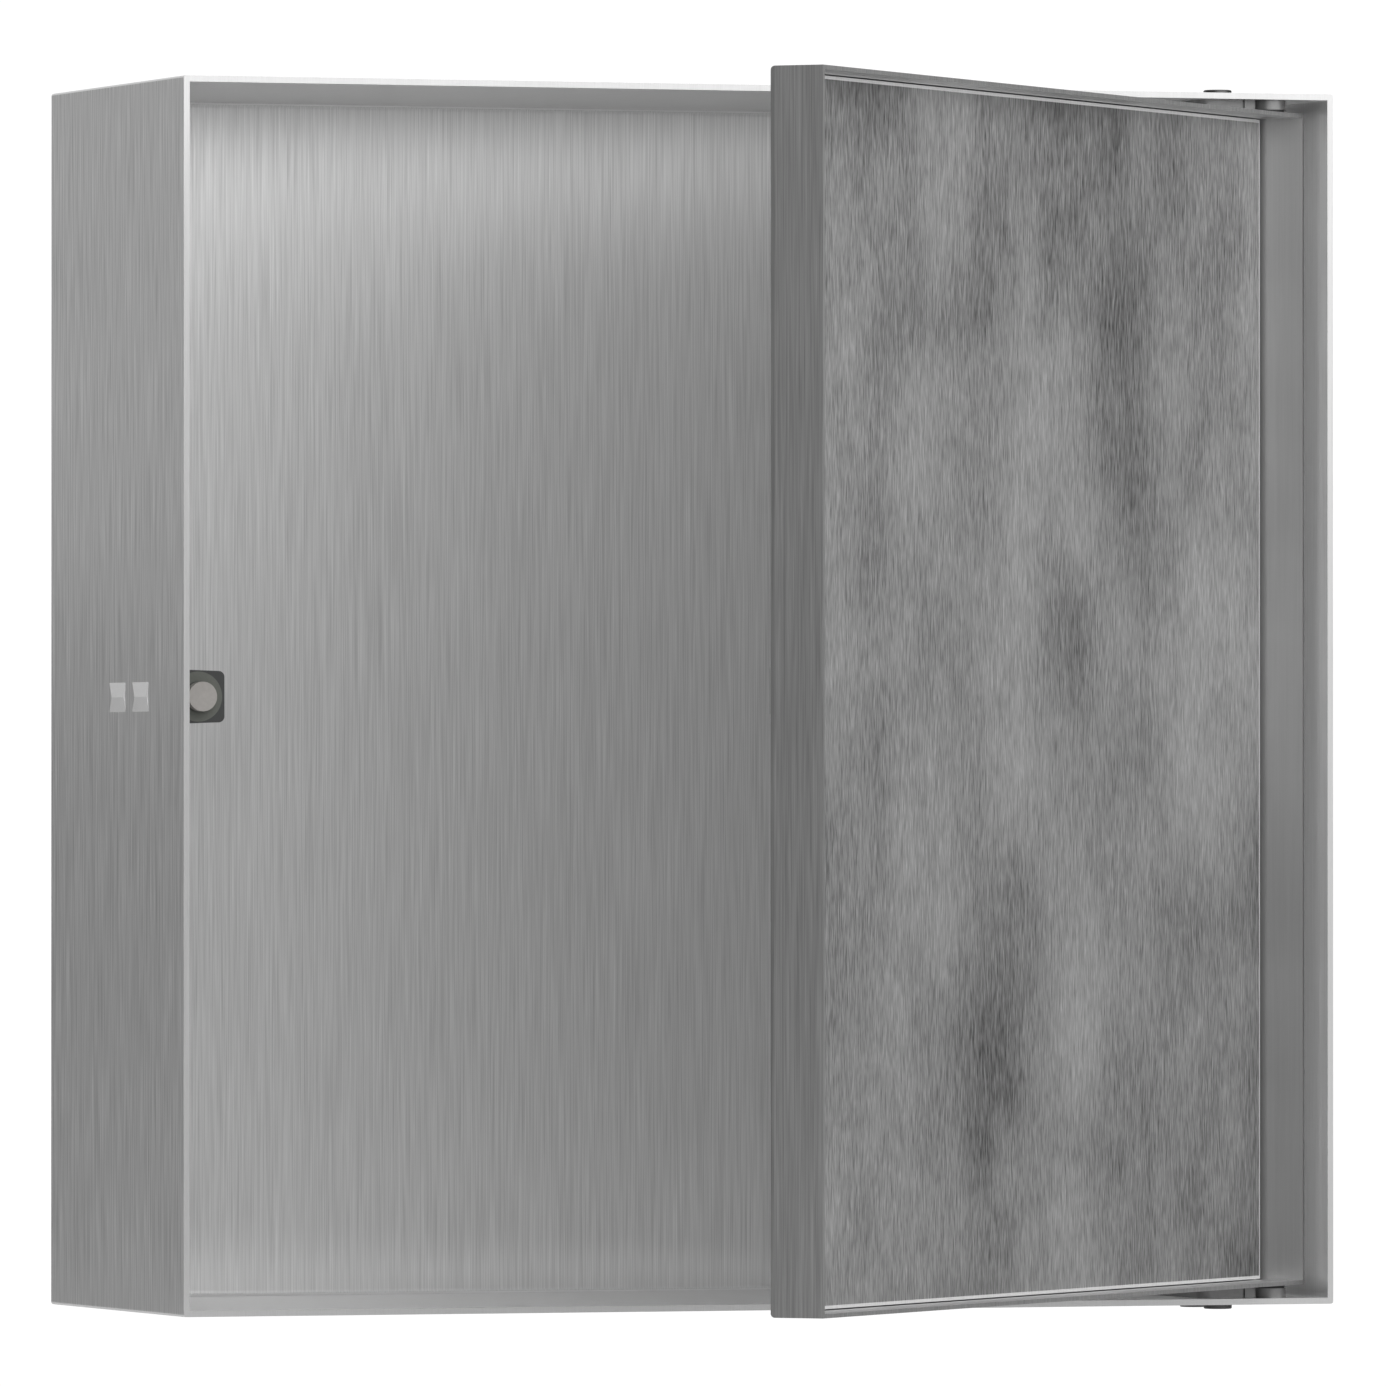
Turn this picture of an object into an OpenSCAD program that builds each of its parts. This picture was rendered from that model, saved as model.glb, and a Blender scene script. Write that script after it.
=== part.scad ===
// Recessed steel wall cabinet with a shallow tray door on pivot hinges and a push latch.
// Frame: X to the right, Y into the wall, Z up. Origin at the centre of the case's back face.
// The door is drawn open; all sizes in millimetres.

/* [Case] */
// overall width of the case
case_w = 300; // [220:1:450]
// overall height of the case
case_h = 300; // [220:1:600]
// overall depth of the case
case_d = 105; // [80:1:150]
// thickness of the case's sheet
sheet = 1.5; // [1:0.1:2]
// inner bend radius along the back panel's edges
case_bend = 1.5; // [0.6:0.1:3]
// rounding of the case's outer edges that run front to back
case_ease = 0.7; // [0.3:0.1:1.2]

/* [Door] */
// angle that the door stands open in this drawing
open_angle = 45; // [0:1:90]
// depth of the door tray, front rim to rear face
door_t = 14; // [10:0.5:18]
// thickness of the door tray's sheet
door_sheet = 1; // [0.8:0.1:1.2]
// inner bend radius along the tray's rear edges
door_bend = 0.8; // [0.5:0.1:1.5]
// gap between the closed door's free end and the case
gap_free = 3.2; // [2.5:0.1:5]
// gap between the closed door's hinge end and the case
gap_hinge = 5.1; // [4:0.1:8]
// pivot axis, in from the door's hinge end
pivot_in = 8.1; // [7:0.1:12]
// pivot axis, back from the case's front plane
pivot_back = 6.1; // [5:0.1:7]

/* [Door plate] */
// thickness of the plate let into the door
plate_t = 2; // [1:0.1:4]
// adhesive layer behind the plate
bond_t = 0.4; // [0.2:0.1:1]
// how far the adhesive stops short of the plate's edges
bond_in = 3; // [1:0.5:10]
// margin between the plate's ends and the tray's walls
plate_margin = 2; // [1:0.1:5]
// margin above and below the plate
plate_gap_z = 0.3; // [0.2:0.1:3]
// width of the plate's shallow bevel
bevel_w = 0.8; // [0.3:0.1:2]
// depth of the plate's bevel at its edge
bevel_d = 0.1; // [0.1:0.1:0.6]

/* [Hinge] */
// diameter of the pivot stud
stud_d = 4; // [3:0.1:5]
// clearance between the stud's end and the case
stud_gap = 0.4; // [0.2:0.1:1]
// radial running clearance of the pivot
pivot_play = 0.05; // [0.02:0.01:0.1]
// wall of the pivot bush
bush_wall = 0.75; // [0.5:0.05:1.2]
// wall of the bracket's eye round the bush
eye_wall = 1.3; // [1:0.1:2.5]
// how far the thrust washer reaches past the bush
washer_over = 1; // [0.5:0.1:1.2]
// thickness of the thrust washer
washer_t = 0.7; // [0.4:0.1:1.5]
// axial play left at each thrust washer
washer_play = 0.1; // [0.05:0.05:0.3]
// thickness of the hinge bracket
bracket_t = 2.4; // [1.5:0.1:3]
// width of the bracket's foot
bracket_w = 22.8; // [18:0.1:30]
// distance from the front plane to the foot's front edge
bracket_front = 5.2; // [4:0.1:7]
// corner radius of the bracket's foot
foot_r = 3.1; // [1:0.1:4]
// width of the notch in the foot's front edge
notch_w = 5; // [3:0.1:8]
// depth of that notch
notch_d = 0.6; // [0.3:0.1:1.5]
// distance of that notch from the foot's left side
notch_in = 6.9; // [4:0.1:8]
// distance from the front plane to the first bracket screw
screw_front = 22; // [16:0.5:26]
// distance between the two bracket screws
screw_pitch = 16; // [12:0.5:20]
// distance from the second screw to the foot's rear end
screw_end = 9; // [6:0.5:20]
// thread diameter of the bracket screws
screw_d = 4; // [3:0.1:5]
// head diameter of the bracket screws
head_d = 7; // [6:0.1:9]
// head height of the bracket screws
head_h = 1.65; // [1.2:0.05:2.5]
// rounding of the head's edge
head_ease = 0.35; // [0.1:0.05:0.6]
// how far the thread stops short of the foot's inner face
screw_short = 0.2; // [0.1:0.1:0.5]
// radial clearance of the screws in the case's holes
screw_play = 0.15; // [0.1:0.05:0.4]

/* [Latch] */
// height of the latch's middle above the case's middle
latch_z = 0; // [-60:1:60]
// length of the latch housing
latch_len = 46.5; // [45:0.5:60]
// diameter of the latch plunger
plunger_d = 7.2; // [5:0.1:9]
// how far the plunger stands out of the latch, its travel
travel = 3.7; // [2:0.1:4.5]
// clearance between the closed door's strike plate and the plunger's tip
tip_gap = 0.1; // [0.05:0.05:0.3]
// running clearance round the plunger
plunger_play = 0.06; // [0.02:0.01:0.1]
// thickness of the magnet disc on the plunger
magnet_t = 2.5; // [1.5:0.1:4]
// how far the collar reaches out from the plunger
collar_ring = 2.5; // [1.5:0.1:3.5]
// thickness of the collar
collar_t = 3; // [2:0.1:4]
// wall of the housing beside the collar
mouth_wall = 0.6; // [0.5:0.05:1.5]
// wall of the housing between the collar and the clip
back_wall = 0.9; // [0.6:0.1:2]
// rounding of the housing's corners away from the wall
latch_round = 1.5; // [0.5:0.1:2]
// how much lower the housing is there than at the wall, on each side
latch_taper = 0.45; // [0:0.05:0.5]
// how far the plunger's shoulder stands out from it
shoulder_h = 0.9; // [0.5:0.1:1.2]
// length of the shoulder
shoulder_len = 4; // [2:0.1:6]
// clearance between the shoulder and the collar
shoulder_gap = 0.2; // [0.1:0.1:0.5]
// length of the plunger's guide pin inside the spring
guide_len = 6; // [3:0.5:10]
// thickness of the end cap
cap_t = 3; // [2:0.1:4]
// length of the end cap's pin inside the spring
cap_pin = 3; // [2:0.5:6]
// wire diameter of the latch spring
wire_d = 0.7; // [0.4:0.1:1]
// turns of the latch spring
spring_turns = 8; // [5:1:14]
// distance of the spring's coils in from the shoulder's edge
spring_in = 1.1; // [0.6:0.1:1.3]
// radial clearance of the two pins in the spring
pin_play = 0.2; // [0.1:0.1:0.5]
// clearance at each end of the spring
spring_gap = 0.05; // [0.02:0.01:0.1]
// thickness of the strike plate on the door
strike_t = 0.7; // [0.5:0.1:1]
// width and height of the strike plate
strike_w = 13; // [10:0.5:20]
// distance of the strike plate from the door's free end
strike_in = 2.2; // [2:0.1:3]
// corner radius of the strike plate
strike_r = 1.5; // [0.5:0.1:3]

/* [Latch clip] */
// height of the lugs that show outside the case
lug_h = 7.2; // [5:0.1:10]
// length of each lug
lug_len = 12.9; // [8:0.1:16]
// distance from the latch housing's face to the first lug
lug_in = 8.8; // [6:0.1:11]
// distance between the two lugs' front ends
lug_pitch = 18.1; // [16:0.1:20]
// height of the lugs above the case's side
lug_out = 0.2; // [0.1:0.1:1.5]
// how far each lug's front end slants back towards its ridge
lug_slant_front = 0.8; // [0.2:0.1:2]
// how far each lug's rear end slants forward towards its ridge
lug_slant_rear = 2.4; // [0.2:0.1:3]
// how far each lug covers its slot above and below
lug_cover = 0.5; // [0.2:0.1:1]
// clearance of the lug's neck in its slot
slot_play = 0.1; // [0.05:0.05:0.2]
// thickness of the clip's band
band_t = 1.2; // [0.8:0.1:2]
// how far the band runs on past the lugs
band_end = 2; // [1:0.1:3]
// how much lower than the housing the band is, above and below
band_low = 0.6; // [0.3:0.1:1.5]
// clearance round the clip's band in the housing
clip_gap = 0.1; // [0.05:0.05:0.2]

/* [Hidden] */
$fn = 64;
eps = 0.01;
hw = case_w / 2;
hh = case_h / 2;
front_y = -case_d;
inner_hw = hw - sheet;
inner_hh = hh - sheet;

// The gap above and below the door holds the bracket and the thrust washer.
gap_z = bracket_t + washer_t + washer_play;
door_x0 = -inner_hw + gap_free;
door_x1 = inner_hw - gap_hinge;
door_hh = inner_hh - gap_z;
door_out = door_bend + door_sheet;
pivot_x = door_x1 - pivot_in;
pivot_y = front_y + pivot_back;
floor_y = front_y + door_t - door_sheet;
plate_y = floor_y - bond_t - plate_t;
plate_x0 = door_x0 + door_sheet + plate_margin;
plate_x1 = door_x1 - door_sheet - plate_margin;
plate_hh = door_hh - door_sheet - plate_gap_z;

// The bush goes round the stud, and the bracket's eye and the washer go by the bush.
bush_d = stud_d + 2 * pivot_play + 2 * bush_wall;
eye_r = bush_d / 2 + eye_wall;
washer_d = bush_d + 2 * washer_over;
bracket_x1 = pivot_x + eye_r;
bracket_x0 = bracket_x1 - bracket_w;
bracket_back = screw_front + screw_pitch + screw_end;
bracket_z = inner_hh - bracket_t;
screw_x = (bracket_x0 + bracket_x1) / 2;
stud_top = inner_hh - stud_gap;

// The latch is sized round its plunger, and set back so that the closed door just clears the tip.
collar_d = plunger_d + 2 * collar_ring;
latch_h = collar_d + 2 * mouth_wall;
plunger_x = band_t + clip_gap + back_wall + collar_d / 2;
latch_w = plunger_x + collar_d / 2 + mouth_wall;
latch_x0 = -inner_hw;
axis_x = latch_x0 + plunger_x;
tip_y = front_y + door_t + strike_t + tip_gap;
latch_y0 = tip_y + travel;
latch_y1 = latch_y0 + latch_len;
barrel_r = plunger_d / 2 + shoulder_h;
bore_r = barrel_r + plunger_play;
shoulder_y = latch_y0 + collar_t + shoulder_gap;
rod_end = shoulder_y + shoulder_len;
spring_y0 = rod_end + spring_gap;
spring_y1 = latch_y1 - cap_t - spring_gap;
spring_r = barrel_r - spring_in;
pin_r = spring_r - wire_d - pin_play;
lug_y0 = latch_y0 + lug_in;
band_y0 = lug_y0 - band_end;
band_y1 = lug_y0 + lug_pitch + lug_len + band_end;
slot_h = lug_h - 2 * lug_cover;
slot_y0 = lug_y0 + lug_slant_front;
slot_len = lug_len - lug_slant_front - lug_slant_rear;

// A cylinder along Y from y0 to y1.
module y_rod(x, z, r, y0, y1) {
  translate([x, y0, z]) rotate([-90, 0, 0]) cylinder(r = r, h = y1 - y0);
}

// A box given by its two corners.
module span(a, b) {
  translate(a) cube(b - a);
}

// A rectangle from a to b with round corners of radius r.
module soft_rect(a, b, r) {
  translate([a[0] + r, a[1]]) square([b[0] - a[0] - 2 * r, b[1] - a[1]]);
  translate([a[0], a[1] + r]) square([b[0] - a[0], b[1] - a[1] - 2 * r]);
  translate([a[0] + r, a[1] + r]) circle(r);
  translate([b[0] - r, a[1] + r]) circle(r);
  translate([a[0] + r, b[1] - r]) circle(r);
  translate([b[0] - r, b[1] - r]) circle(r);
}

// A profile from y0 to y1 across a to b, its two rear corners rounded by r.
module bent_profile(a, b, y0, y1, r) {
  translate([a + r, y0]) square([b - a - 2 * r, y1 - y0]);
  translate([a, y0]) square([b - a, y1 - y0 - r]);
  translate([a + r, y1 - r]) circle(r);
  translate([b - r, y1 - r]) circle(r);
}

// Extrudes a profile drawn in width and depth along X from x0 to x1, its width standing along Z.
module along_x(x0, x1) {
  translate([x0, 0, 0]) rotate([0, 90, 0]) mirror([1, 0, 0]) linear_extrude(x1 - x0) children();
}

// A block with its rear edges bent round by r, mitred where the bends meet.
module tray_block(x0, x1, z0, z1, y0, y1, r) {
  intersection() {
    translate([0, 0, z0]) linear_extrude(z1 - z0) bent_profile(x0, x1, y0, y1, r);
    along_x(x0, x1) bent_profile(z0, z1, y0, y1, r);
  }
}

// Turns what follows about the pivot axis from closed to the drawn opening.
module opened() {
  translate([pivot_x, pivot_y, 0]) rotate([0, 0, open_angle]) translate([-pivot_x, -pivot_y, 0]) children();
}

// Holes for one panel's two bracket screws.
module screw_holes(r, z0, z1) {
  for (i = [0, 1]) {
    translate([screw_x, front_y + screw_front + i * screw_pitch, z0]) cylinder(r = r, h = z1 - z0);
  }
}

// Slots in the side wall for the clip's lugs.
module lug_slots() {
  for (i = [0, 1]) {
    span([-hw - 1, slot_y0 + i * lug_pitch, latch_z - slot_h / 2],
         [-inner_hw + 1, slot_y0 + slot_len + i * lug_pitch, latch_z + slot_h / 2]);
  }
}

module case_shell() {
  color("silver") difference() {
    rotate([90, 0, 0]) linear_extrude(case_d) soft_rect([-hw, -hh], [hw, hh], case_ease);
    tray_block(-inner_hw, inner_hw, -inner_hh, inner_hh, front_y - 1, -sheet, case_bend);
    span([-inner_hw, front_y - 1, -inner_hh], [inner_hw, -sheet - case_bend, inner_hh]);
    screw_holes(screw_d / 2 + screw_play, inner_hh - 1, hh + 1);
    screw_holes(screw_d / 2 + screw_play, -hh - 1, -inner_hh + 1);
    lug_slots();
  }
}

// Plan shape of the hinge bracket: a foot with the eye at its front right corner.
module bracket_plan() {
  r = foot_r;
  difference() {
    union() {
      soft_rect([bracket_x0, front_y + bracket_front], [bracket_x1, front_y + bracket_back], r);
      translate([pivot_x, pivot_y]) circle(eye_r);
      translate([pivot_x, pivot_y]) square([eye_r, r * 2]);
    }
    translate([bracket_x0 + notch_in, front_y + bracket_front - 1]) square([notch_w, notch_d + 1]);
  }
}

module hinge_bracket() {
  difference() {
    translate([0, 0, bracket_z]) linear_extrude(bracket_t) bracket_plan();
    translate([pivot_x, pivot_y, bracket_z - 1]) cylinder(d = bush_d, h = bracket_t + 2);
    screw_holes(screw_d / 2, bracket_z - 1, inner_hh + 1);
  }
}

module hinge_bracket_top() {
  color("dimgray") hinge_bracket();
}

module hinge_bracket_bottom() {
  color("dimgray") mirror([0, 0, 1]) hinge_bracket();
}

module hinge_screws() {
  r = head_ease;
  for (i = [0, 1]) {
    translate([screw_x, front_y + screw_front + i * screw_pitch, 0]) rotate_extrude() {
      translate([0, bracket_z + screw_short]) square([screw_d / 2, hh - bracket_z]);
      translate([0, hh]) square([head_d / 2, head_h - r]);
      translate([0, hh]) square([head_d / 2 - r, head_h]);
      translate([head_d / 2 - r, hh + head_h - r]) circle(r, $fn = 32);
    }
  }
}

module hinge_screws_top() {
  color("gray") hinge_screws();
}

module hinge_screws_bottom() {
  color("gray") mirror([0, 0, 1]) hinge_screws();
}

module pivot_bush() {
  translate([pivot_x, pivot_y, bracket_z]) difference() {
    cylinder(d = bush_d, h = bracket_t);
    translate([0, 0, -1]) cylinder(r = stud_d / 2 + pivot_play, h = bracket_t + 2);
  }
}

module pivot_bush_top() {
  color("white") pivot_bush();
}

module pivot_bush_bottom() {
  color("white") mirror([0, 0, 1]) pivot_bush();
}

// The washer lies against the face at height z.
module thrust_washer(z) {
  translate([pivot_x, pivot_y, z]) difference() {
    cylinder(d = washer_d, h = washer_t);
    translate([0, 0, -1]) cylinder(r = stud_d / 2 + pivot_play, h = washer_t + 2);
  }
}

module thrust_washer_top() {
  color("black") thrust_washer(door_hh);
}

module thrust_washer_bottom() {
  color("black") thrust_washer(-bracket_z);
}

// Front view of the latch housing, with the wall side square and the other side rounded.
module housing_face() {
  r = latch_round;
  x1 = latch_x0 + latch_w;
  h1 = latch_h / 2 - latch_taper;
  polygon([
    [latch_x0, -latch_h / 2], [x1 - r, -h1], [x1, r - h1],
    [x1, h1 - r], [x1 - r, h1], [latch_x0, latch_h / 2]
  ]);
  translate([x1 - r, h1 - r]) circle(r);
  translate([x1 - r, r - h1]) circle(r);
}

// The groove in the housing's wall side that the clip's band sits in.
module clip_groove(grow) {
  span([latch_x0 - 1, band_y0 - grow, latch_z - latch_h],
       [latch_x0 + band_t + grow, band_y1 + grow, latch_z + latch_h]);
}

module latch_housing() {
  color("dimgray") difference() {
    translate([0, latch_y1, latch_z]) rotate([90, 0, 0]) linear_extrude(latch_len) housing_face();
    y_rod(axis_x, latch_z, collar_d / 2, latch_y0 - 1, latch_y0 + collar_t);
    y_rod(axis_x, latch_z, bore_r, latch_y0, latch_y1 + 1);
    clip_groove(clip_gap);
  }
}

module latch_collar() {
  color("gray") difference() {
    y_rod(axis_x, latch_z, collar_d / 2, latch_y0, latch_y0 + collar_t);
    y_rod(axis_x, latch_z, plunger_d / 2 + plunger_play, latch_y0 - 1, latch_y0 + collar_t + 1);
  }
}

module latch_end_cap() {
  color("black") union() {
    y_rod(axis_x, latch_z, bore_r, latch_y1 - cap_t, latch_y1);
    y_rod(axis_x, latch_z, pin_r, latch_y1 - cap_t - cap_pin, latch_y1 - cap_t + eps);
  }
}

// Side view of a lug: its ends slant in to the ridge.
module lug_side() {
  h = lug_h / 2;
  polygon([
    [0, -h], [lug_slant_front, 0], [0, h], [lug_len, h], [lug_len - lug_slant_rear, 0], [lug_len, -h]
  ]);
}

// One roof-shaped lug that starts at y0 and leans on the outside of the side wall.
module lug(y0) {
  h = lug_h / 2;
  intersection() {
    translate([-hw + 5, y0, latch_z]) rotate([90, 0, -90]) mirror([1, 0, 0]) linear_extrude(10) lug_side();
    translate([0, y0 + lug_len, latch_z]) rotate([90, 0, 0]) linear_extrude(lug_len)
      polygon([[-hw, -h], [-hw - lug_out, 0], [-hw, h]]);
  }
}

// Steel band with two roof-shaped lugs that reach out through the side wall.
module latch_clip() {
  color("white") union() {
    span([latch_x0, band_y0, latch_z - latch_h / 2 + band_low],
         [latch_x0 + band_t, band_y1, latch_z + latch_h / 2 - band_low]);
    for (i = [0, 1]) {
      y0 = slot_y0 + i * lug_pitch;
      span([-hw - eps, y0 + slot_play, latch_z - slot_h / 2 + slot_play],
           [latch_x0 + eps, y0 + slot_len - slot_play, latch_z + slot_h / 2 - slot_play]);
      lug(lug_y0 + i * lug_pitch);
    }
  }
}

// A point on the spring's wire: i along the wire, j round it.
function wire_point(i, j, n, sides, r, len) =
  let (
    t = 360 * spring_turns * i / n,
    rise = atan2(len, 2 * PI * r * spring_turns),
    a = 360 * (j + 0.5) / sides,
    u = wire_d / 2 * cos(a),
    v = wire_d / 2 * sin(a)
  )
  [
    (r + u) * cos(t) - v * sin(rise) * sin(t),
    (r + u) * sin(t) + v * sin(rise) * cos(t),
    len * i / n - v * cos(rise)
  ];

module latch_spring() {
  sides = 6;
  n = 14 * spring_turns;
  len = spring_y1 - spring_y0 - wire_d;
  points = [for (i = [0:n], j = [0:sides - 1]) wire_point(i, j, n, sides, spring_r - wire_d / 2, len)];
  skin = [
    for (i = [0:n - 1], j = [0:sides - 1], k = [0, 1])
      let (a = i * sides + j, b = i * sides + (j + 1) % sides)
        k == 0 ? [a, a + sides, b + sides] : [a, b + sides, b]
  ];
  start = [for (j = [0:sides - 1]) j];
  end = [for (j = [sides - 1:-1:0]) n * sides + j];
  color("silver") translate([axis_x, spring_y0 + wire_d / 2, latch_z]) rotate([-90, 0, 0])
    polyhedron(points = points, faces = concat(skin, [start], [end]));
}

module latch_plunger() {
  r = plunger_d / 2;
  color("gray") union() {
    y_rod(axis_x, latch_z, r, tip_y + magnet_t, shoulder_y + eps);
    y_rod(axis_x, latch_z, barrel_r, shoulder_y, rod_end);
    y_rod(axis_x, latch_z, pin_r, rod_end - eps, rod_end + guide_len);
  }
}

module latch_magnet() {
  color("lightgray") y_rod(axis_x, latch_z, plunger_d / 2, tip_y, tip_y + magnet_t);
}

module door_tray() {
  color("darkgray") opened() difference() {
    tray_block(door_x0, door_x1, -door_hh, door_hh, front_y, front_y + door_t, door_out);
    tray_block(door_x0 + door_sheet, door_x1 - door_sheet, -door_hh + door_sheet, door_hh - door_sheet,
               front_y - 1, floor_y, door_bend);
    translate([pivot_x, pivot_y, -door_hh - 1]) cylinder(d = stud_d, h = 2 * door_hh + 2);
  }
}

module plate_bond() {
  color("beige") opened()
    span([plate_x0 + bond_in, floor_y - bond_t, -plate_hh + bond_in],
         [plate_x1 - bond_in, floor_y, plate_hh - bond_in]);
}

// Section of the plate: square at the rear, its front edges bevelled.
module plate_section(a, b) {
  polygon([
    [a, plate_y + plate_t], [a, plate_y + bevel_d], [a + bevel_w, plate_y],
    [b - bevel_w, plate_y], [b, plate_y + bevel_d], [b, plate_y + plate_t]
  ]);
}

module door_plate() {
  color("gray") opened() intersection() {
    translate([0, 0, -plate_hh]) linear_extrude(2 * plate_hh) plate_section(plate_x0, plate_x1);
    along_x(plate_x0, plate_x1) plate_section(-plate_hh, plate_hh);
  }
}

module pivot_stud() {
  z0 = door_hh - door_sheet;
  translate([pivot_x, pivot_y, z0]) cylinder(d = stud_d, h = stud_top - z0);
}

module pivot_stud_top() {
  color("silver") opened() pivot_stud();
}

module pivot_stud_bottom() {
  color("silver") opened() mirror([0, 0, 1]) pivot_stud();
}

module strike_plate() {
  h = strike_w / 2;
  xm = door_x0 + strike_in + h;
  color("gray") opened() translate([0, front_y + door_t + strike_t, 0]) rotate([90, 0, 0])
    linear_extrude(strike_t) soft_rect([xm - h, latch_z - h], [xm + h, latch_z + h], strike_r);
}

case_shell();
hinge_bracket_top();
hinge_bracket_bottom();
hinge_screws_top();
hinge_screws_bottom();
pivot_bush_top();
pivot_bush_bottom();
thrust_washer_bottom();
latch_housing();
latch_collar();
latch_end_cap();
latch_clip();
latch_spring();
door_tray();
door_plate();
plate_bond();
pivot_stud_top();
pivot_stud_bottom();
thrust_washer_top();
strike_plate();
latch_plunger();
latch_magnet();
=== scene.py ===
import math
import bpy
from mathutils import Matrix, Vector


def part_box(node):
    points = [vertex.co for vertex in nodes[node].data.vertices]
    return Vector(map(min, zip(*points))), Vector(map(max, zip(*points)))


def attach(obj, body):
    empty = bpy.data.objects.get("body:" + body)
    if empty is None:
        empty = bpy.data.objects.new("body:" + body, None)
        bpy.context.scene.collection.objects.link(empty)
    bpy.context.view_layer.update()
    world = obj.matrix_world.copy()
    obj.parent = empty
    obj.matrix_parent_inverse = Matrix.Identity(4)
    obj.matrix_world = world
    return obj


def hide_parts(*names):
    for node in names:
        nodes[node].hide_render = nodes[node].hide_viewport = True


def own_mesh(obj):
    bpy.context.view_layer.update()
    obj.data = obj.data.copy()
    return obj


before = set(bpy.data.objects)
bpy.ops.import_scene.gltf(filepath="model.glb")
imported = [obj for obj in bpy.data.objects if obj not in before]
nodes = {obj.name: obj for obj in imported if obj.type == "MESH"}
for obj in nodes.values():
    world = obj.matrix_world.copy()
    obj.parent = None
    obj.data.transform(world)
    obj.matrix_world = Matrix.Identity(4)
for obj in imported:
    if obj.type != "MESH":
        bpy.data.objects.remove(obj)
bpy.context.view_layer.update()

scene = bpy.context.scene
scene.view_settings.view_transform = "Standard"
scene.view_settings.look = "None"
case_lo, case_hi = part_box("case_shell")

FRONT = (0.0, -1.0, 0.0)
UP = (0.0, 0.0, 1.0)
LEFT = (-1.0, 0.0, 0.0)
RIGHT = (1.0, 0.0, 0.0)


# ---------------------------------------------------------------- node helpers
class Nodes:
    """An empty node tree with small helpers for building it."""

    def __init__(self, tree):
        self.t = tree
        self.t.nodes.clear()
        self.add = self.t.nodes.new

    def put(self, value, socket):
        if isinstance(value, bpy.types.NodeSocket):
            self.t.links.new(value, socket)
        else:
            socket.default_value = value

    def math(self, op, a, b=0.0, c=0.0):
        n = self.add("ShaderNodeMath")
        n.operation = op
        for i, v in enumerate((a, b, c)):
            if len(n.inputs) > i:
                self.put(v, n.inputs[i])
        return n.outputs[0]

    def vmath(self, op, a, b=(0, 0, 0)):
        n = self.add("ShaderNodeVectorMath")
        n.operation = op
        self.put(a, n.inputs[0])
        self.put(b, n.inputs[1])
        return n.outputs[0]

    def dot(self, v, direction):
        n = self.add("ShaderNodeVectorMath")
        n.operation = "DOT_PRODUCT"
        self.put(v, n.inputs[0])
        n.inputs[1].default_value = direction
        return n.outputs["Value"]

    def split(self, v):
        n = self.add("ShaderNodeSeparateXYZ")
        self.put(v, n.inputs[0])
        return n.outputs

    def noise(self, co, scale, detail, rough):
        n = self.add("ShaderNodeTexNoise")
        self.put(co, n.inputs["Vector"])
        n.inputs["Scale"].default_value = scale
        n.inputs["Detail"].default_value = detail
        n.inputs["Roughness"].default_value = rough
        return n.outputs[0]

    def remap(self, v, a, b, lo, hi):
        n = self.add("ShaderNodeMapRange")
        n.clamp = True
        self.put(v, n.inputs[0])
        for i, x in enumerate((a, b, lo, hi)):
            self.put(x, n.inputs[i + 1])
        return n.outputs[0]

    def normal(self):
        return self.add("ShaderNodeNewGeometry").outputs["True Normal"]

    def facing(self, direction):
        """How squarely a face looks along a direction given in the object's own frame."""
        own = self.add("ShaderNodeVectorTransform")
        own.vector_type, own.convert_from, own.convert_to = "NORMAL", "WORLD", "OBJECT"
        self.put(self.normal(), own.inputs[0])
        return self.dot(own.outputs[0], direction)

    def blend(self, v, where, other):
        """v, or the other value where the mask is 1."""
        return self.math("MULTIPLY_ADD", where, self.math("SUBTRACT", other, v), v)

    def grey(self, v, tint=(1.0, 1.0, 1.0)):
        n = self.add("ShaderNodeVectorMath")
        n.operation = "SCALE"
        n.inputs[0].default_value = tint
        self.put(v, n.inputs["Scale"])
        return n.outputs[0]

    def bump(self, height, strength, distance):
        n = self.add("ShaderNodeBump")
        n.inputs["Strength"].default_value = strength
        n.inputs["Distance"].default_value = distance
        self.put(height, n.inputs["Height"])
        return n.outputs[0]


class Mat(Nodes):
    """A material's nodes: its shader is b, and co gives places in the object's own frame."""

    def __init__(self, name):
        self.m = bpy.data.materials.new(name)
        self.m.use_nodes = True
        super().__init__(self.m.node_tree)
        out = self.add("ShaderNodeOutputMaterial")
        self.b = self.add("ShaderNodeBsdfPrincipled")
        self.put(self.b.outputs[0], out.inputs["Surface"])
        self.co = self.add("ShaderNodeTexCoord").outputs["Object"]


# ---------------------------------------------------------------- finishes
# noise scales, in cycles per metre across the streaks
FINE_LINES = 3400.0
MID_LINES = 1000.0
WIDE_BANDS = 120.0
CLOUDS = 20.0
GRAIN = 900.0
PATCHES = GRAIN * 0.12

# how much the noise is drawn out along Y on walls, and the clouds upwards
WALL_DEPTH = 0.35
CLOUD_STRETCH = (1.0, 1.0, 0.75)

BRUSH_HEIGHT = 0.0002
GRAIN_HEIGHT = 0.0001
BRUSH_METAL = 0.8
BRUSH_ANISOTROPY = 0.75
LEAST_ROUGH = 0.08

# how far a normal has to lie along a direction to count as facing it
MOSTLY = 0.7
SQUARELY = 0.9


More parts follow.
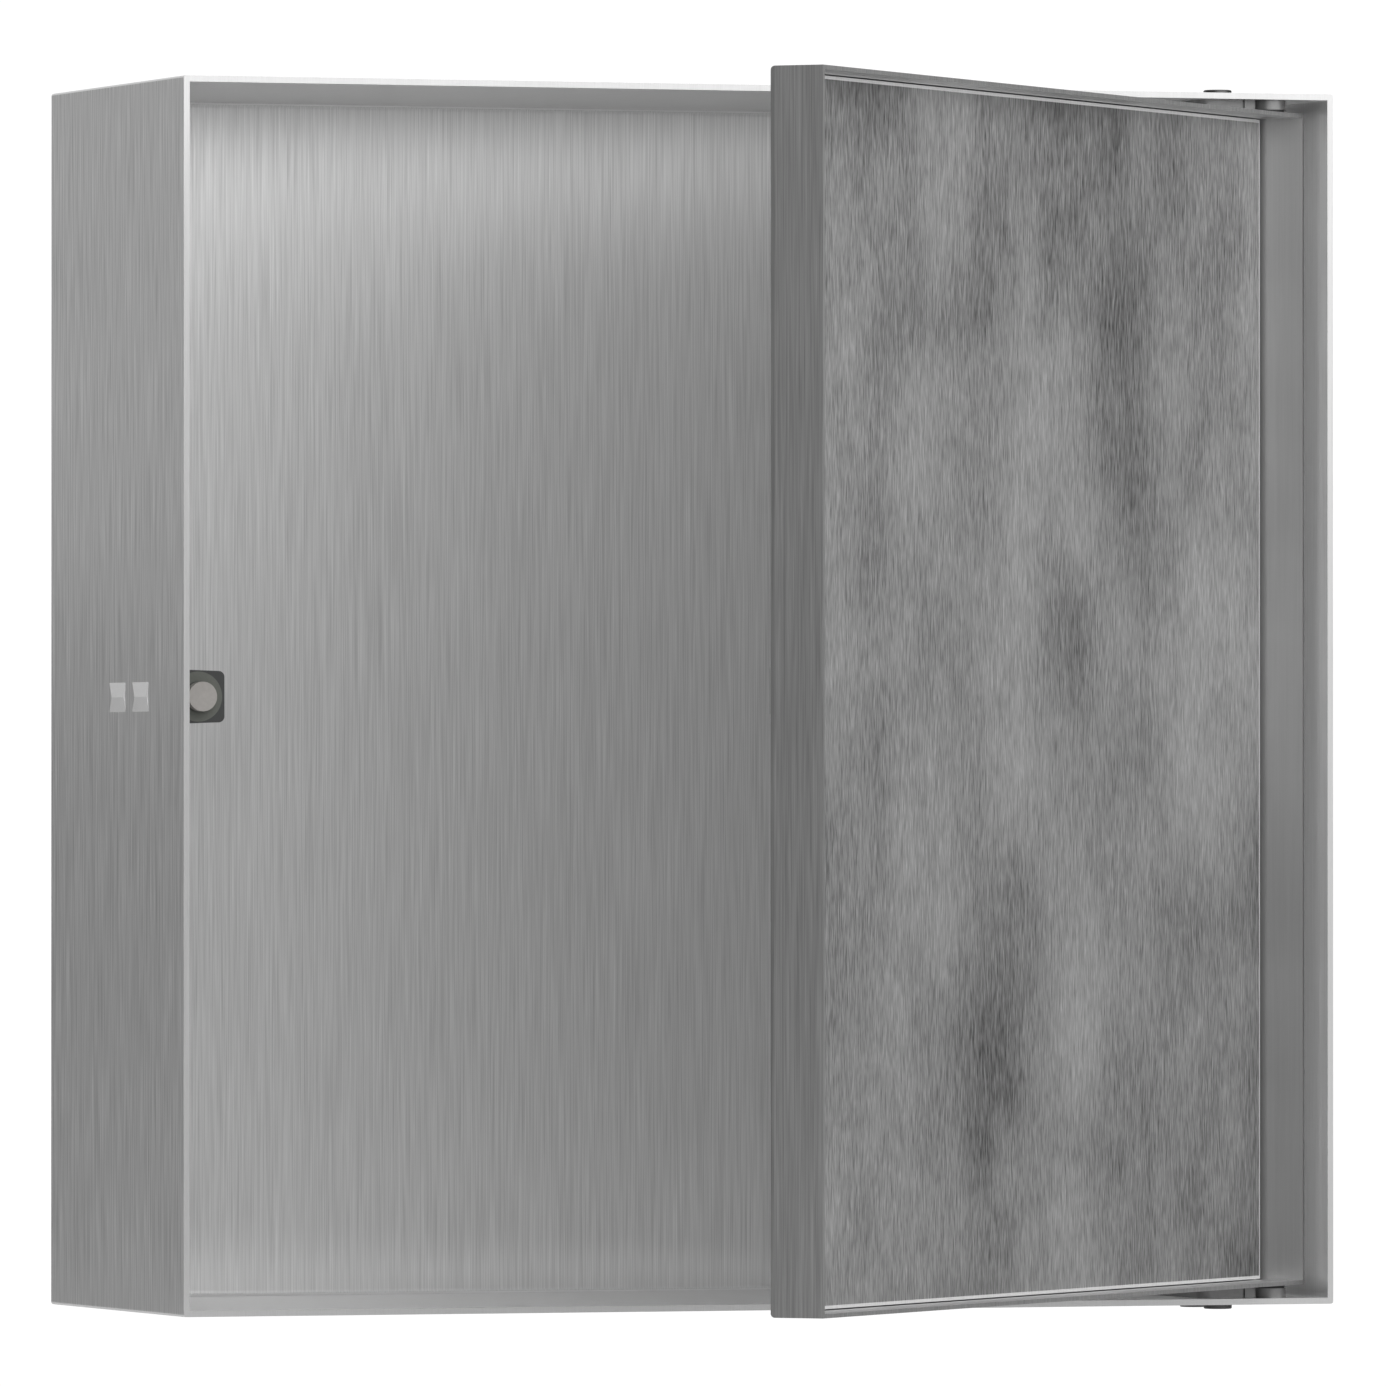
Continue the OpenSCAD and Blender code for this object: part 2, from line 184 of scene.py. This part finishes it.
def brush_frame(k, squeeze):
    """Coordinates squeezed so that noise runs in streaks: up walls, and front to back on level faces."""
    n = k.split(k.vmath("ABSOLUTE", k.normal()))
    flat = k.math("GREATER_THAN", n[2], MOSTLY)
    wall = k.vmath("MULTIPLY", k.co, (1.0, WALL_DEPTH, squeeze))
    lying = k.vmath("MULTIPLY", k.co, (1.0, squeeze, 1.0))
    mix = k.add("ShaderNodeMix")
    mix.data_type = "VECTOR"
    k.put(flat, mix.inputs["Factor"])
    k.put(wall, mix.inputs[4])
    k.put(lying, mix.inputs[5])
    return mix.outputs[1]


def centred(k, noise):
    """Noise about zero."""
    return k.math("SUBTRACT", noise, 0.5)


def brushed(name, base, rough, fine, wide=0.06, cloud=0.0, bump=0.10, squeeze=0.010, zones=()):
    """Brushed steel: fine and wide streaks in tone and roughness, and slow clouds where asked for.

    Each zone is a function that returns a mask, and the base tone and the streaks' strength there.
    """
    k = Mat(name)
    co = brush_frame(k, squeeze)
    lines = k.noise(co, FINE_LINES, 2.0, 0.6)
    streaks = k.noise(co, MID_LINES, 2.0, 0.55)
    bands = k.noise(co, WIDE_BANDS, 1.0, 0.5)
    v = k.math("MULTIPLY", centred(k, lines), fine * 2.0)
    v = k.math("MULTIPLY_ADD", centred(k, streaks), wide * 2.0, v)
    v = k.math("MULTIPLY_ADD", centred(k, bands), wide * 1.2, v)
    r = k.math("MULTIPLY_ADD", centred(k, streaks), 0.10, rough)
    if cloud:
        c = k.noise(k.vmath("MULTIPLY", k.co, CLOUD_STRETCH), CLOUDS, 2.0, 0.5)
        c = k.remap(c, 0.28, 0.72, -1.0, 1.0)
        v = k.math("MULTIPLY_ADD", c, cloud, v)
        r = k.math("MULTIPLY_ADD", c, -0.04, r)
    tone = k.math("MULTIPLY", k.math("ADD", v, 1.0), base)
    for mask, zone_base, strength in zones:
        calm = k.math("MULTIPLY", k.math("MULTIPLY_ADD", v, strength, 1.0), zone_base)
        tone = k.blend(tone, mask(k), calm)
    k.put(k.grey(tone), k.b.inputs["Base Color"])
    k.put(k.math("MAXIMUM", r, LEAST_ROUGH), k.b.inputs["Roughness"])
    k.b.inputs["Metallic"].default_value = BRUSH_METAL
    k.b.inputs["Anisotropic"].default_value = BRUSH_ANISOTROPY
    # level, across the streaks on a wall; the nudge gives level faces a direction too
    across = k.vmath("CROSS_PRODUCT", UP, k.normal())
    k.put(k.vmath("ADD", across, (0.001, 0.0, 0.0)), k.b.inputs["Tangent"])
    k.put(k.bump(streaks, bump, BRUSH_HEIGHT), k.b.inputs["Normal"])
    return k.m


def satin(name, base, rough, tint=(1.0, 1.0, 1.0), vary=0.12, metallic=1.0, bump=0.15):
    """Turned or stamped metal, or plastic at metallic 0, with a fine grain."""
    k = Mat(name)
    grain = k.noise(k.co, GRAIN, 3.0, 0.6)
    patches = k.noise(k.co, PATCHES, 2.0, 0.5)
    v = k.math("MULTIPLY_ADD", centred(k, grain), vary * 2.0, 1.0)
    v = k.math("MULTIPLY_ADD", centred(k, patches), vary, v)
    k.put(k.grey(k.math("MULTIPLY", v, base), tint), k.b.inputs["Base Color"])
    k.put(k.math("MULTIPLY_ADD", centred(k, patches), 0.12, rough), k.b.inputs["Roughness"])
    k.b.inputs["Metallic"].default_value = metallic
    k.put(k.bump(grain, bump, GRAIN_HEIGHT), k.b.inputs["Normal"])
    return k.m


def paint(name, material, ease=0.0):
    """Gives a CAD node its material, and eases its sharp edges by a width in metres."""
    o = nodes[name]
    o.data.materials.clear()
    o.data.materials.append(material)
    if ease:
        w = o.modifiers.new("eased", "BEVEL")
        w.width, w.segments = ease, 2
        w.limit_method, w.angle_limit = "ANGLE", math.radians(40)


# ---------------------------------------------------------------- where each finish, painted light and painted shade lies
# the door as drawn, its plate's bevel, and depths and places in metres
OPEN = math.radians(45)
DOOR_NORMAL = (math.sin(OPEN), -math.cos(OPEN), 0.0)
DOOR_LEFT = (-math.cos(OPEN), -math.sin(OPEN), 0.0)
BEVEL_DEPTH, BEVEL_WIDTH = 0.0001, 0.0008
BEVEL_COS = math.cos(math.atan2(BEVEL_DEPTH, BEVEL_WIDTH))
BEVEL_SPREAD = 0.004
SKIN = 0.0010
EDGE = 0.0002
HINGE_SIDE = 0.10

# the part of a bend that gets a painted highlight: its middle, and how far to each side of that
BEND_HIGHLIGHT_BAND = (0.62, 0.16)
CORNER_HIGHLIGHT_BAND = (0.65, 0.3)


def cut_edge(k):
    """The case's cut front edge."""
    near = k.math("LESS_THAN", k.split(k.co)[1], case_lo.y + EDGE)
    return k.math("MULTIPLY", near, k.math("GREATER_THAN", k.facing(FRONT), MOSTLY))


def case_inside(k):
    """The case's inner faces: those within its sheet."""
    x, y, z = k.split(k.co)
    wide = k.math("LESS_THAN", k.math("ABSOLUTE", x), case_hi.x - SKIN)
    high = k.math("LESS_THAN", k.math("ABSOLUTE", z), case_hi.z - SKIN)
    deep = k.math("MULTIPLY", k.math("LESS_THAN", y, -SKIN), k.math("GREATER_THAN", y, case_lo.y + EDGE))
    return k.math("MULTIPLY", deep, k.math("MULTIPLY", wide, high))


def case_bend_highlight(k):
    """The middle of the inner bend along the back panel, with a painted highlight."""
    return k.math("MULTIPLY", case_inside(k), k.math("COMPARE", k.facing(FRONT), *BEND_HIGHLIGHT_BAND))


def case_corner_highlight(k):
    """The case's outer corners that run front to back, where a highlight is painted."""
    x = k.math("ABSOLUTE", k.facing(RIGHT))
    outside = k.math("SUBTRACT", 1.0, case_inside(k))
    return k.math("MULTIPLY", outside, k.math("COMPARE", x, *CORNER_HIGHLIGHT_BAND))


def case_level_light(k):
    """The inner faces of the top and bottom panels, where lighter tone is painted light."""
    level = k.math("GREATER_THAN", k.math("ABSOLUTE", k.facing(UP)), SQUARELY)
    return k.math("MULTIPLY", case_inside(k), level)


def outer_level_shade(k):
    """The outer faces of the top and bottom: level faces that point away from mid-height, darkened as
    painted shade.
    """
    up = k.facing(UP)
    level = k.math("GREATER_THAN", k.math("ABSOLUTE", up), SQUARELY)
    away = k.math("GREATER_THAN", k.math("MULTIPLY", up, k.split(k.co)[2]), 0.0)
    return k.math("MULTIPLY", away, level)


def right_wall_inside_light(k):
    """The inner face of the case's hinge side, where lighter tone is painted light."""
    return k.math("MULTIPLY", case_inside(k), k.math("GREATER_THAN", k.facing(LEFT), MOSTLY))


def tray_rear_light(k):
    """The tray's rear face, which looks into the case, where lighter tone is painted light."""
    return k.math("LESS_THAN", k.facing(DOOR_NORMAL), -SQUARELY)


def tray_hinge_wall(k):
    """The inner face of the tray's wall at the hinge, which is smooth."""
    near = k.math("GREATER_THAN", k.split(k.co)[0], HINGE_SIDE)
    return k.math("MULTIPLY", near, k.math("GREATER_THAN", k.facing(DOOR_LEFT), SQUARELY))


def tray_level_light(k):
    """The tray's faces that look up or down, where lighter tone is painted light."""
    return k.math("GREATER_THAN", k.math("ABSOLUTE", k.facing(UP)), MOSTLY)


def plate_bevel_highlight(k):
    """The plate's narrow bevel, where a highlight is painted."""
    return k.math("COMPARE", k.facing(DOOR_NORMAL), BEVEL_COS, BEVEL_SPREAD)


# ---------------------------------------------------------------- materials
case_steel = brushed("case_brushed_steel", 0.75, rough=0.38, fine=0.52, wide=0.035, zones=[
    # painted shade: the case's inner faces a shade darker than its outside
    (case_inside, 0.735, 0.75),
    # painted light: the inner top and bottom faces lightened
    (case_level_light, 0.99, 0.2),
    # painted light: the inner face of the hinge side lightened
    (right_wall_inside_light, 0.97, 0.2),
    # painted highlight along the middle of the inner back bend
    (case_bend_highlight, 1.0, 0.1),
    # painted shade: the outer top and bottom darkened
    (outer_level_shade, 0.38, 1.0),
    # painted highlight on the outer corners that run front to back
    (case_corner_highlight, 1.0, 0.1),
    (cut_edge, 0.59, 0.2)])
tray_steel = brushed("tray_brushed_steel", 0.38, rough=0.36, fine=0.50, wide=0.05, zones=[
    # painted light: the tray's rear face lightened
    (tray_rear_light, 0.92, 0.6),
    # painted light: the tray's faces that look up or down lightened
    (tray_level_light, 0.90, 0.2),
    # painted shade: the tray's outer top and bottom darkened
    (outer_level_shade, 0.25, 1.0),
    (tray_hinge_wall, 0.43, 0.15)])
# painted highlight on the plate's narrow bevel
plate_steel = brushed("plate_cloudy_steel", 0.37, rough=0.42, fine=1.15, wide=0.06, cloud=0.46, bump=0.16,
                      squeeze=0.06, zones=[(plate_bevel_highlight, 0.95, 0.1)])
bracket_steel = satin("bracket_satin_steel", 0.22, rough=0.35, metallic=0.6)
screw_steel = satin("screw_dark_steel", 0.10, rough=0.32)
stud_steel = satin("stud_turned_steel", 0.5, rough=0.3)
bush = satin("bush_natural_plastic", 0.6, rough=0.5, tint=(1.0, 0.98, 0.92), metallic=0.0)
washer = satin("washer_black_plastic", 0.025, rough=0.5, metallic=0.0)
latch_black = satin("latch_dark_plastic", 0.055, rough=0.55, tint=(0.97, 1.0, 1.0), metallic=0.0)
collar_grey = satin("collar_grey", 0.135, rough=0.55, tint=(1.0, 1.06, 0.93), metallic=0.0)
plunger_grey = satin("plunger_grey", 0.11, rough=0.5, metallic=0.0)
magnet = satin("magnet_dull_nickel", 0.41, rough=0.5, tint=(1.04, 0.99, 0.94), metallic=0.0)
clip_steel = satin("clip_bright_steel", 0.98, rough=0.25, vary=0.02, metallic=0.25, bump=0.03)
spring_steel = satin("spring_wire", 0.6, rough=0.25)
strike_steel = brushed("strike_satin_steel", 0.5, rough=0.4, fine=0.2)
bond = satin("bond_cured_adhesive", 0.45, rough=0.6, tint=(1.0, 0.97, 0.85), metallic=0.0)

paint("case_shell", case_steel, ease=0.00015)
paint("door_tray", tray_steel, ease=0.00006)
paint("door_plate", plate_steel)
paint("plate_bond", bond)
for end in ("top", "bottom"):
    paint("hinge_bracket_" + end, bracket_steel, ease=0.0002)
    paint("hinge_screws_" + end, screw_steel)
    paint("pivot_bush_" + end, bush)
    paint("thrust_washer_" + end, washer, ease=0.0001)
    paint("pivot_stud_" + end, stud_steel, ease=0.0002)
paint("latch_housing", latch_black, ease=0.0002)
paint("latch_collar", collar_grey, ease=0.0001)
paint("latch_end_cap", latch_black)
paint("latch_clip", clip_steel)
paint("latch_plunger", plunger_grey)
paint("latch_magnet", magnet, ease=0.0001)
paint("strike_plate", strike_steel, ease=0.0001)


# ---------------------------------------------------------------- the latch's spring
WIRE_R = 0.00035
TURNS = 8
CLOSED_TURNS = 1
RING_SIDES = 12
RINGS_PER_TURN = 30


def coil_rise(turn, run):
    """How far along the spring the wire is after so many turns. The end turns lie closed."""
    end = CLOSED_TURNS * 2 * WIRE_R
    if turn < CLOSED_TURNS:
        return end * turn / CLOSED_TURNS
    if turn > TURNS - CLOSED_TURNS:
        return run - end * (TURNS - turn) / CLOSED_TURNS
    return end + (run - 2 * end) * (turn - CLOSED_TURNS) / (TURNS - 2 * CLOSED_TURNS)


def coil_points(lo, hi):
    """Rings of points round a wire that winds along Y inside the box."""
    coil_r = (hi.x - lo.x) / 2 - WIRE_R
    cx, cz = (lo.x + hi.x) / 2, (lo.z + hi.z) / 2
    run = hi.y - lo.y - 2 * WIRE_R
    rings = TURNS * RINGS_PER_TURN
    for i in range(rings + 1):
        turn = TURNS * i / rings
        y = lo.y + WIRE_R + coil_rise(turn, run)
        a = 2 * math.pi * turn
        for j in range(RING_SIDES):
            b = 2 * math.pi * j / RING_SIDES
            out = coil_r + WIRE_R * math.cos(b)
            yield cx + out * math.cos(a), y + WIRE_R * math.sin(b), cz + out * math.sin(a)


def coil_faces():
    """Quads between each ring and the next, and a flat face on each end."""
    rings = TURNS * RINGS_PER_TURN
    for i in range(rings):
        a, b = i * RING_SIDES, (i + 1) * RING_SIDES
        for j in range(RING_SIDES):
            k = (j + 1) % RING_SIDES
            yield a + j, a + k, b + k, b + j
    yield tuple(range(RING_SIDES - 1, -1, -1))
    yield tuple(rings * RING_SIDES + j for j in range(RING_SIDES))


def make_spring():
    """A compression spring in the CAD spring's place; it is drawn at one length, though the real one
    shortens as the plunger goes in.
    """
    lo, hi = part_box("latch_spring")
    mesh = bpy.data.meshes.new("latch_spring_coil")
    mesh.from_pydata(list(coil_points(lo, hi)), [], list(coil_faces()))
    mesh.update()
    for p in mesh.polygons:
        p.use_smooth = len(p.vertices) == 4
    o = bpy.data.objects.new("latch_spring_coil", mesh)
    scene.collection.objects.link(o)
    mesh.materials.append(spring_steel)
    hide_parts("latch_spring")
    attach(o, "cabinet")
    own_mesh(o)


make_spring()


# ---------------------------------------------------------------- floor, world and lights
FLOOR_DROP = 0.11
FLOOR_R = 2.0
FLOOR_SIDES = 96


def make_floor():
    """A plain pale disc below the cabinet, which hangs clear of it as it would in a wall."""
    z = case_lo.z - FLOOR_DROP
    angles = [2 * math.pi * i / FLOOR_SIDES for i in range(FLOOR_SIDES)]
    ring = [(FLOOR_R * math.cos(a), FLOOR_R * math.sin(a), z) for a in angles]
    mesh = bpy.data.meshes.new("floor")
    mesh.from_pydata(ring, [], [tuple(range(FLOOR_SIDES))])
    o = bpy.data.objects.new("floor", mesh)
    scene.collection.objects.link(o)
    k = Mat("floor_pale")
    g = k.noise(k.co, 6.0, 3.0, 0.5)
    k.put(k.grey(k.math("MULTIPLY_ADD", g, 0.02, 0.80)), k.b.inputs["Base Color"])
    k.b.inputs["Roughness"].default_value = 0.9
    mesh.materials.append(k.m)


make_floor()

# the glow in front of the open case: its direction, its gain over the sky and how narrow it is
FRONT_DIR = (0.343, -0.939, 0.0)
FRONT_GAIN = 4.6
FRONT_FOCUS = 2.0

# the sky's light from straight down, at 0, to straight up, at 1
SKY = [(0.0, 0.15), (0.45, 0.18), (0.52, 0.21), (0.65, 0.30), (1.0, 0.42)]
BACKDROP = 1.05


def make_world():
    """A white backdrop; as light, it is brighter upwards and in front of the open case."""
    world = bpy.data.worlds.new("studio")
    scene.world = world
    world.use_nodes = True
    k = Nodes(world.node_tree)
    out = k.add("ShaderNodeOutputWorld")
    backdrop = k.add("ShaderNodeBackground")
    light = k.add("ShaderNodeBackground")
    mix = k.add("ShaderNodeMixShader")
    direction = k.add("ShaderNodeTexCoord").outputs["Generated"]

    sky = k.add("ShaderNodeValToRGB")
    ramp = sky.color_ramp.elements
    while len(ramp) < len(SKY):
        ramp.new(0.5)
    for stop, (height, value) in zip(ramp, SKY):
        stop.position = height
        stop.color = (value, value, value, 1)
    k.put(k.remap(k.split(direction)[2], -1.0, 1.0, 0.0, 1.0), sky.inputs[0])

    front = k.math("MAXIMUM", k.dot(direction, FRONT_DIR), 0.0)
    front = k.math("POWER", front, FRONT_FOCUS)
    k.put(sky.outputs[0], light.inputs["Color"])
    k.put(k.math("MULTIPLY_ADD", front, FRONT_GAIN, 1.0), light.inputs["Strength"])

    backdrop.inputs["Color"].default_value = (1, 1, 1, 1)
    backdrop.inputs["Strength"].default_value = BACKDROP
    k.put(k.add("ShaderNodeLightPath").outputs["Is Camera Ray"], mix.inputs[0])
    k.put(light.outputs[0], mix.inputs[1])
    k.put(backdrop.outputs[0], mix.inputs[2])
    k.put(mix.outputs[0], out.inputs[0])


make_world()


def softbox(name, at, aim, size, power):
    """A soft light that the camera doesn't see. It shines from one point towards another."""
    data = bpy.data.lights.new(name, "AREA")
    data.shape = "RECTANGLE"
    data.size, data.size_y = size
    data.energy = power
    o = bpy.data.objects.new(name, data)
    scene.collection.objects.link(o)
    o.location = at
    o.rotation_mode = "QUATERNION"
    o.rotation_quaternion = (Vector(aim) - Vector(at)).to_track_quat("-Z", "Y")
    o.visible_camera = False


softbox("front_box", (0.30, -1.05, 0.58), (0.0, 0.0, 0.58), (2.0, 0.9), 5.8)
softbox("back_left_box", (-0.55, 1.10, 0.58), (-0.15, 0.0, 0.58), (1.3, 1.1), 1.3)
softbox("overhead_box", (-0.3, -0.1, 1.3), (0.0, 0.0, 0.0), (1.2, 1.2), 2.0)

# ---------------------------------------------------------------- camera
# millimetres for the lens and sensor, metres for the place
CAMERA_AT = (-1.3299, -3.6948, -0.0265)
YAW = math.radians(20.06)
PITCH = math.radians(0.413)
LENS = 406.2
SENSOR = 36.0


def make_camera():
    """The photo's view: a long lens from the front and left, at the cabinet's mid-height."""
    data = bpy.data.cameras.new("camera")
    data.lens = LENS
    data.sensor_width = SENSOR
    data.clip_start, data.clip_end = 0.1, 50.0
    o = bpy.data.objects.new("camera", data)
    scene.collection.objects.link(o)
    o.location = CAMERA_AT
    level = math.cos(PITCH)
    look = Vector((math.sin(YAW) * level, math.cos(YAW) * level, math.sin(PITCH)))
    o.rotation_mode = "QUATERNION"
    o.rotation_quaternion = look.to_track_quat("-Z", "Y")
    scene.camera = o


make_camera()
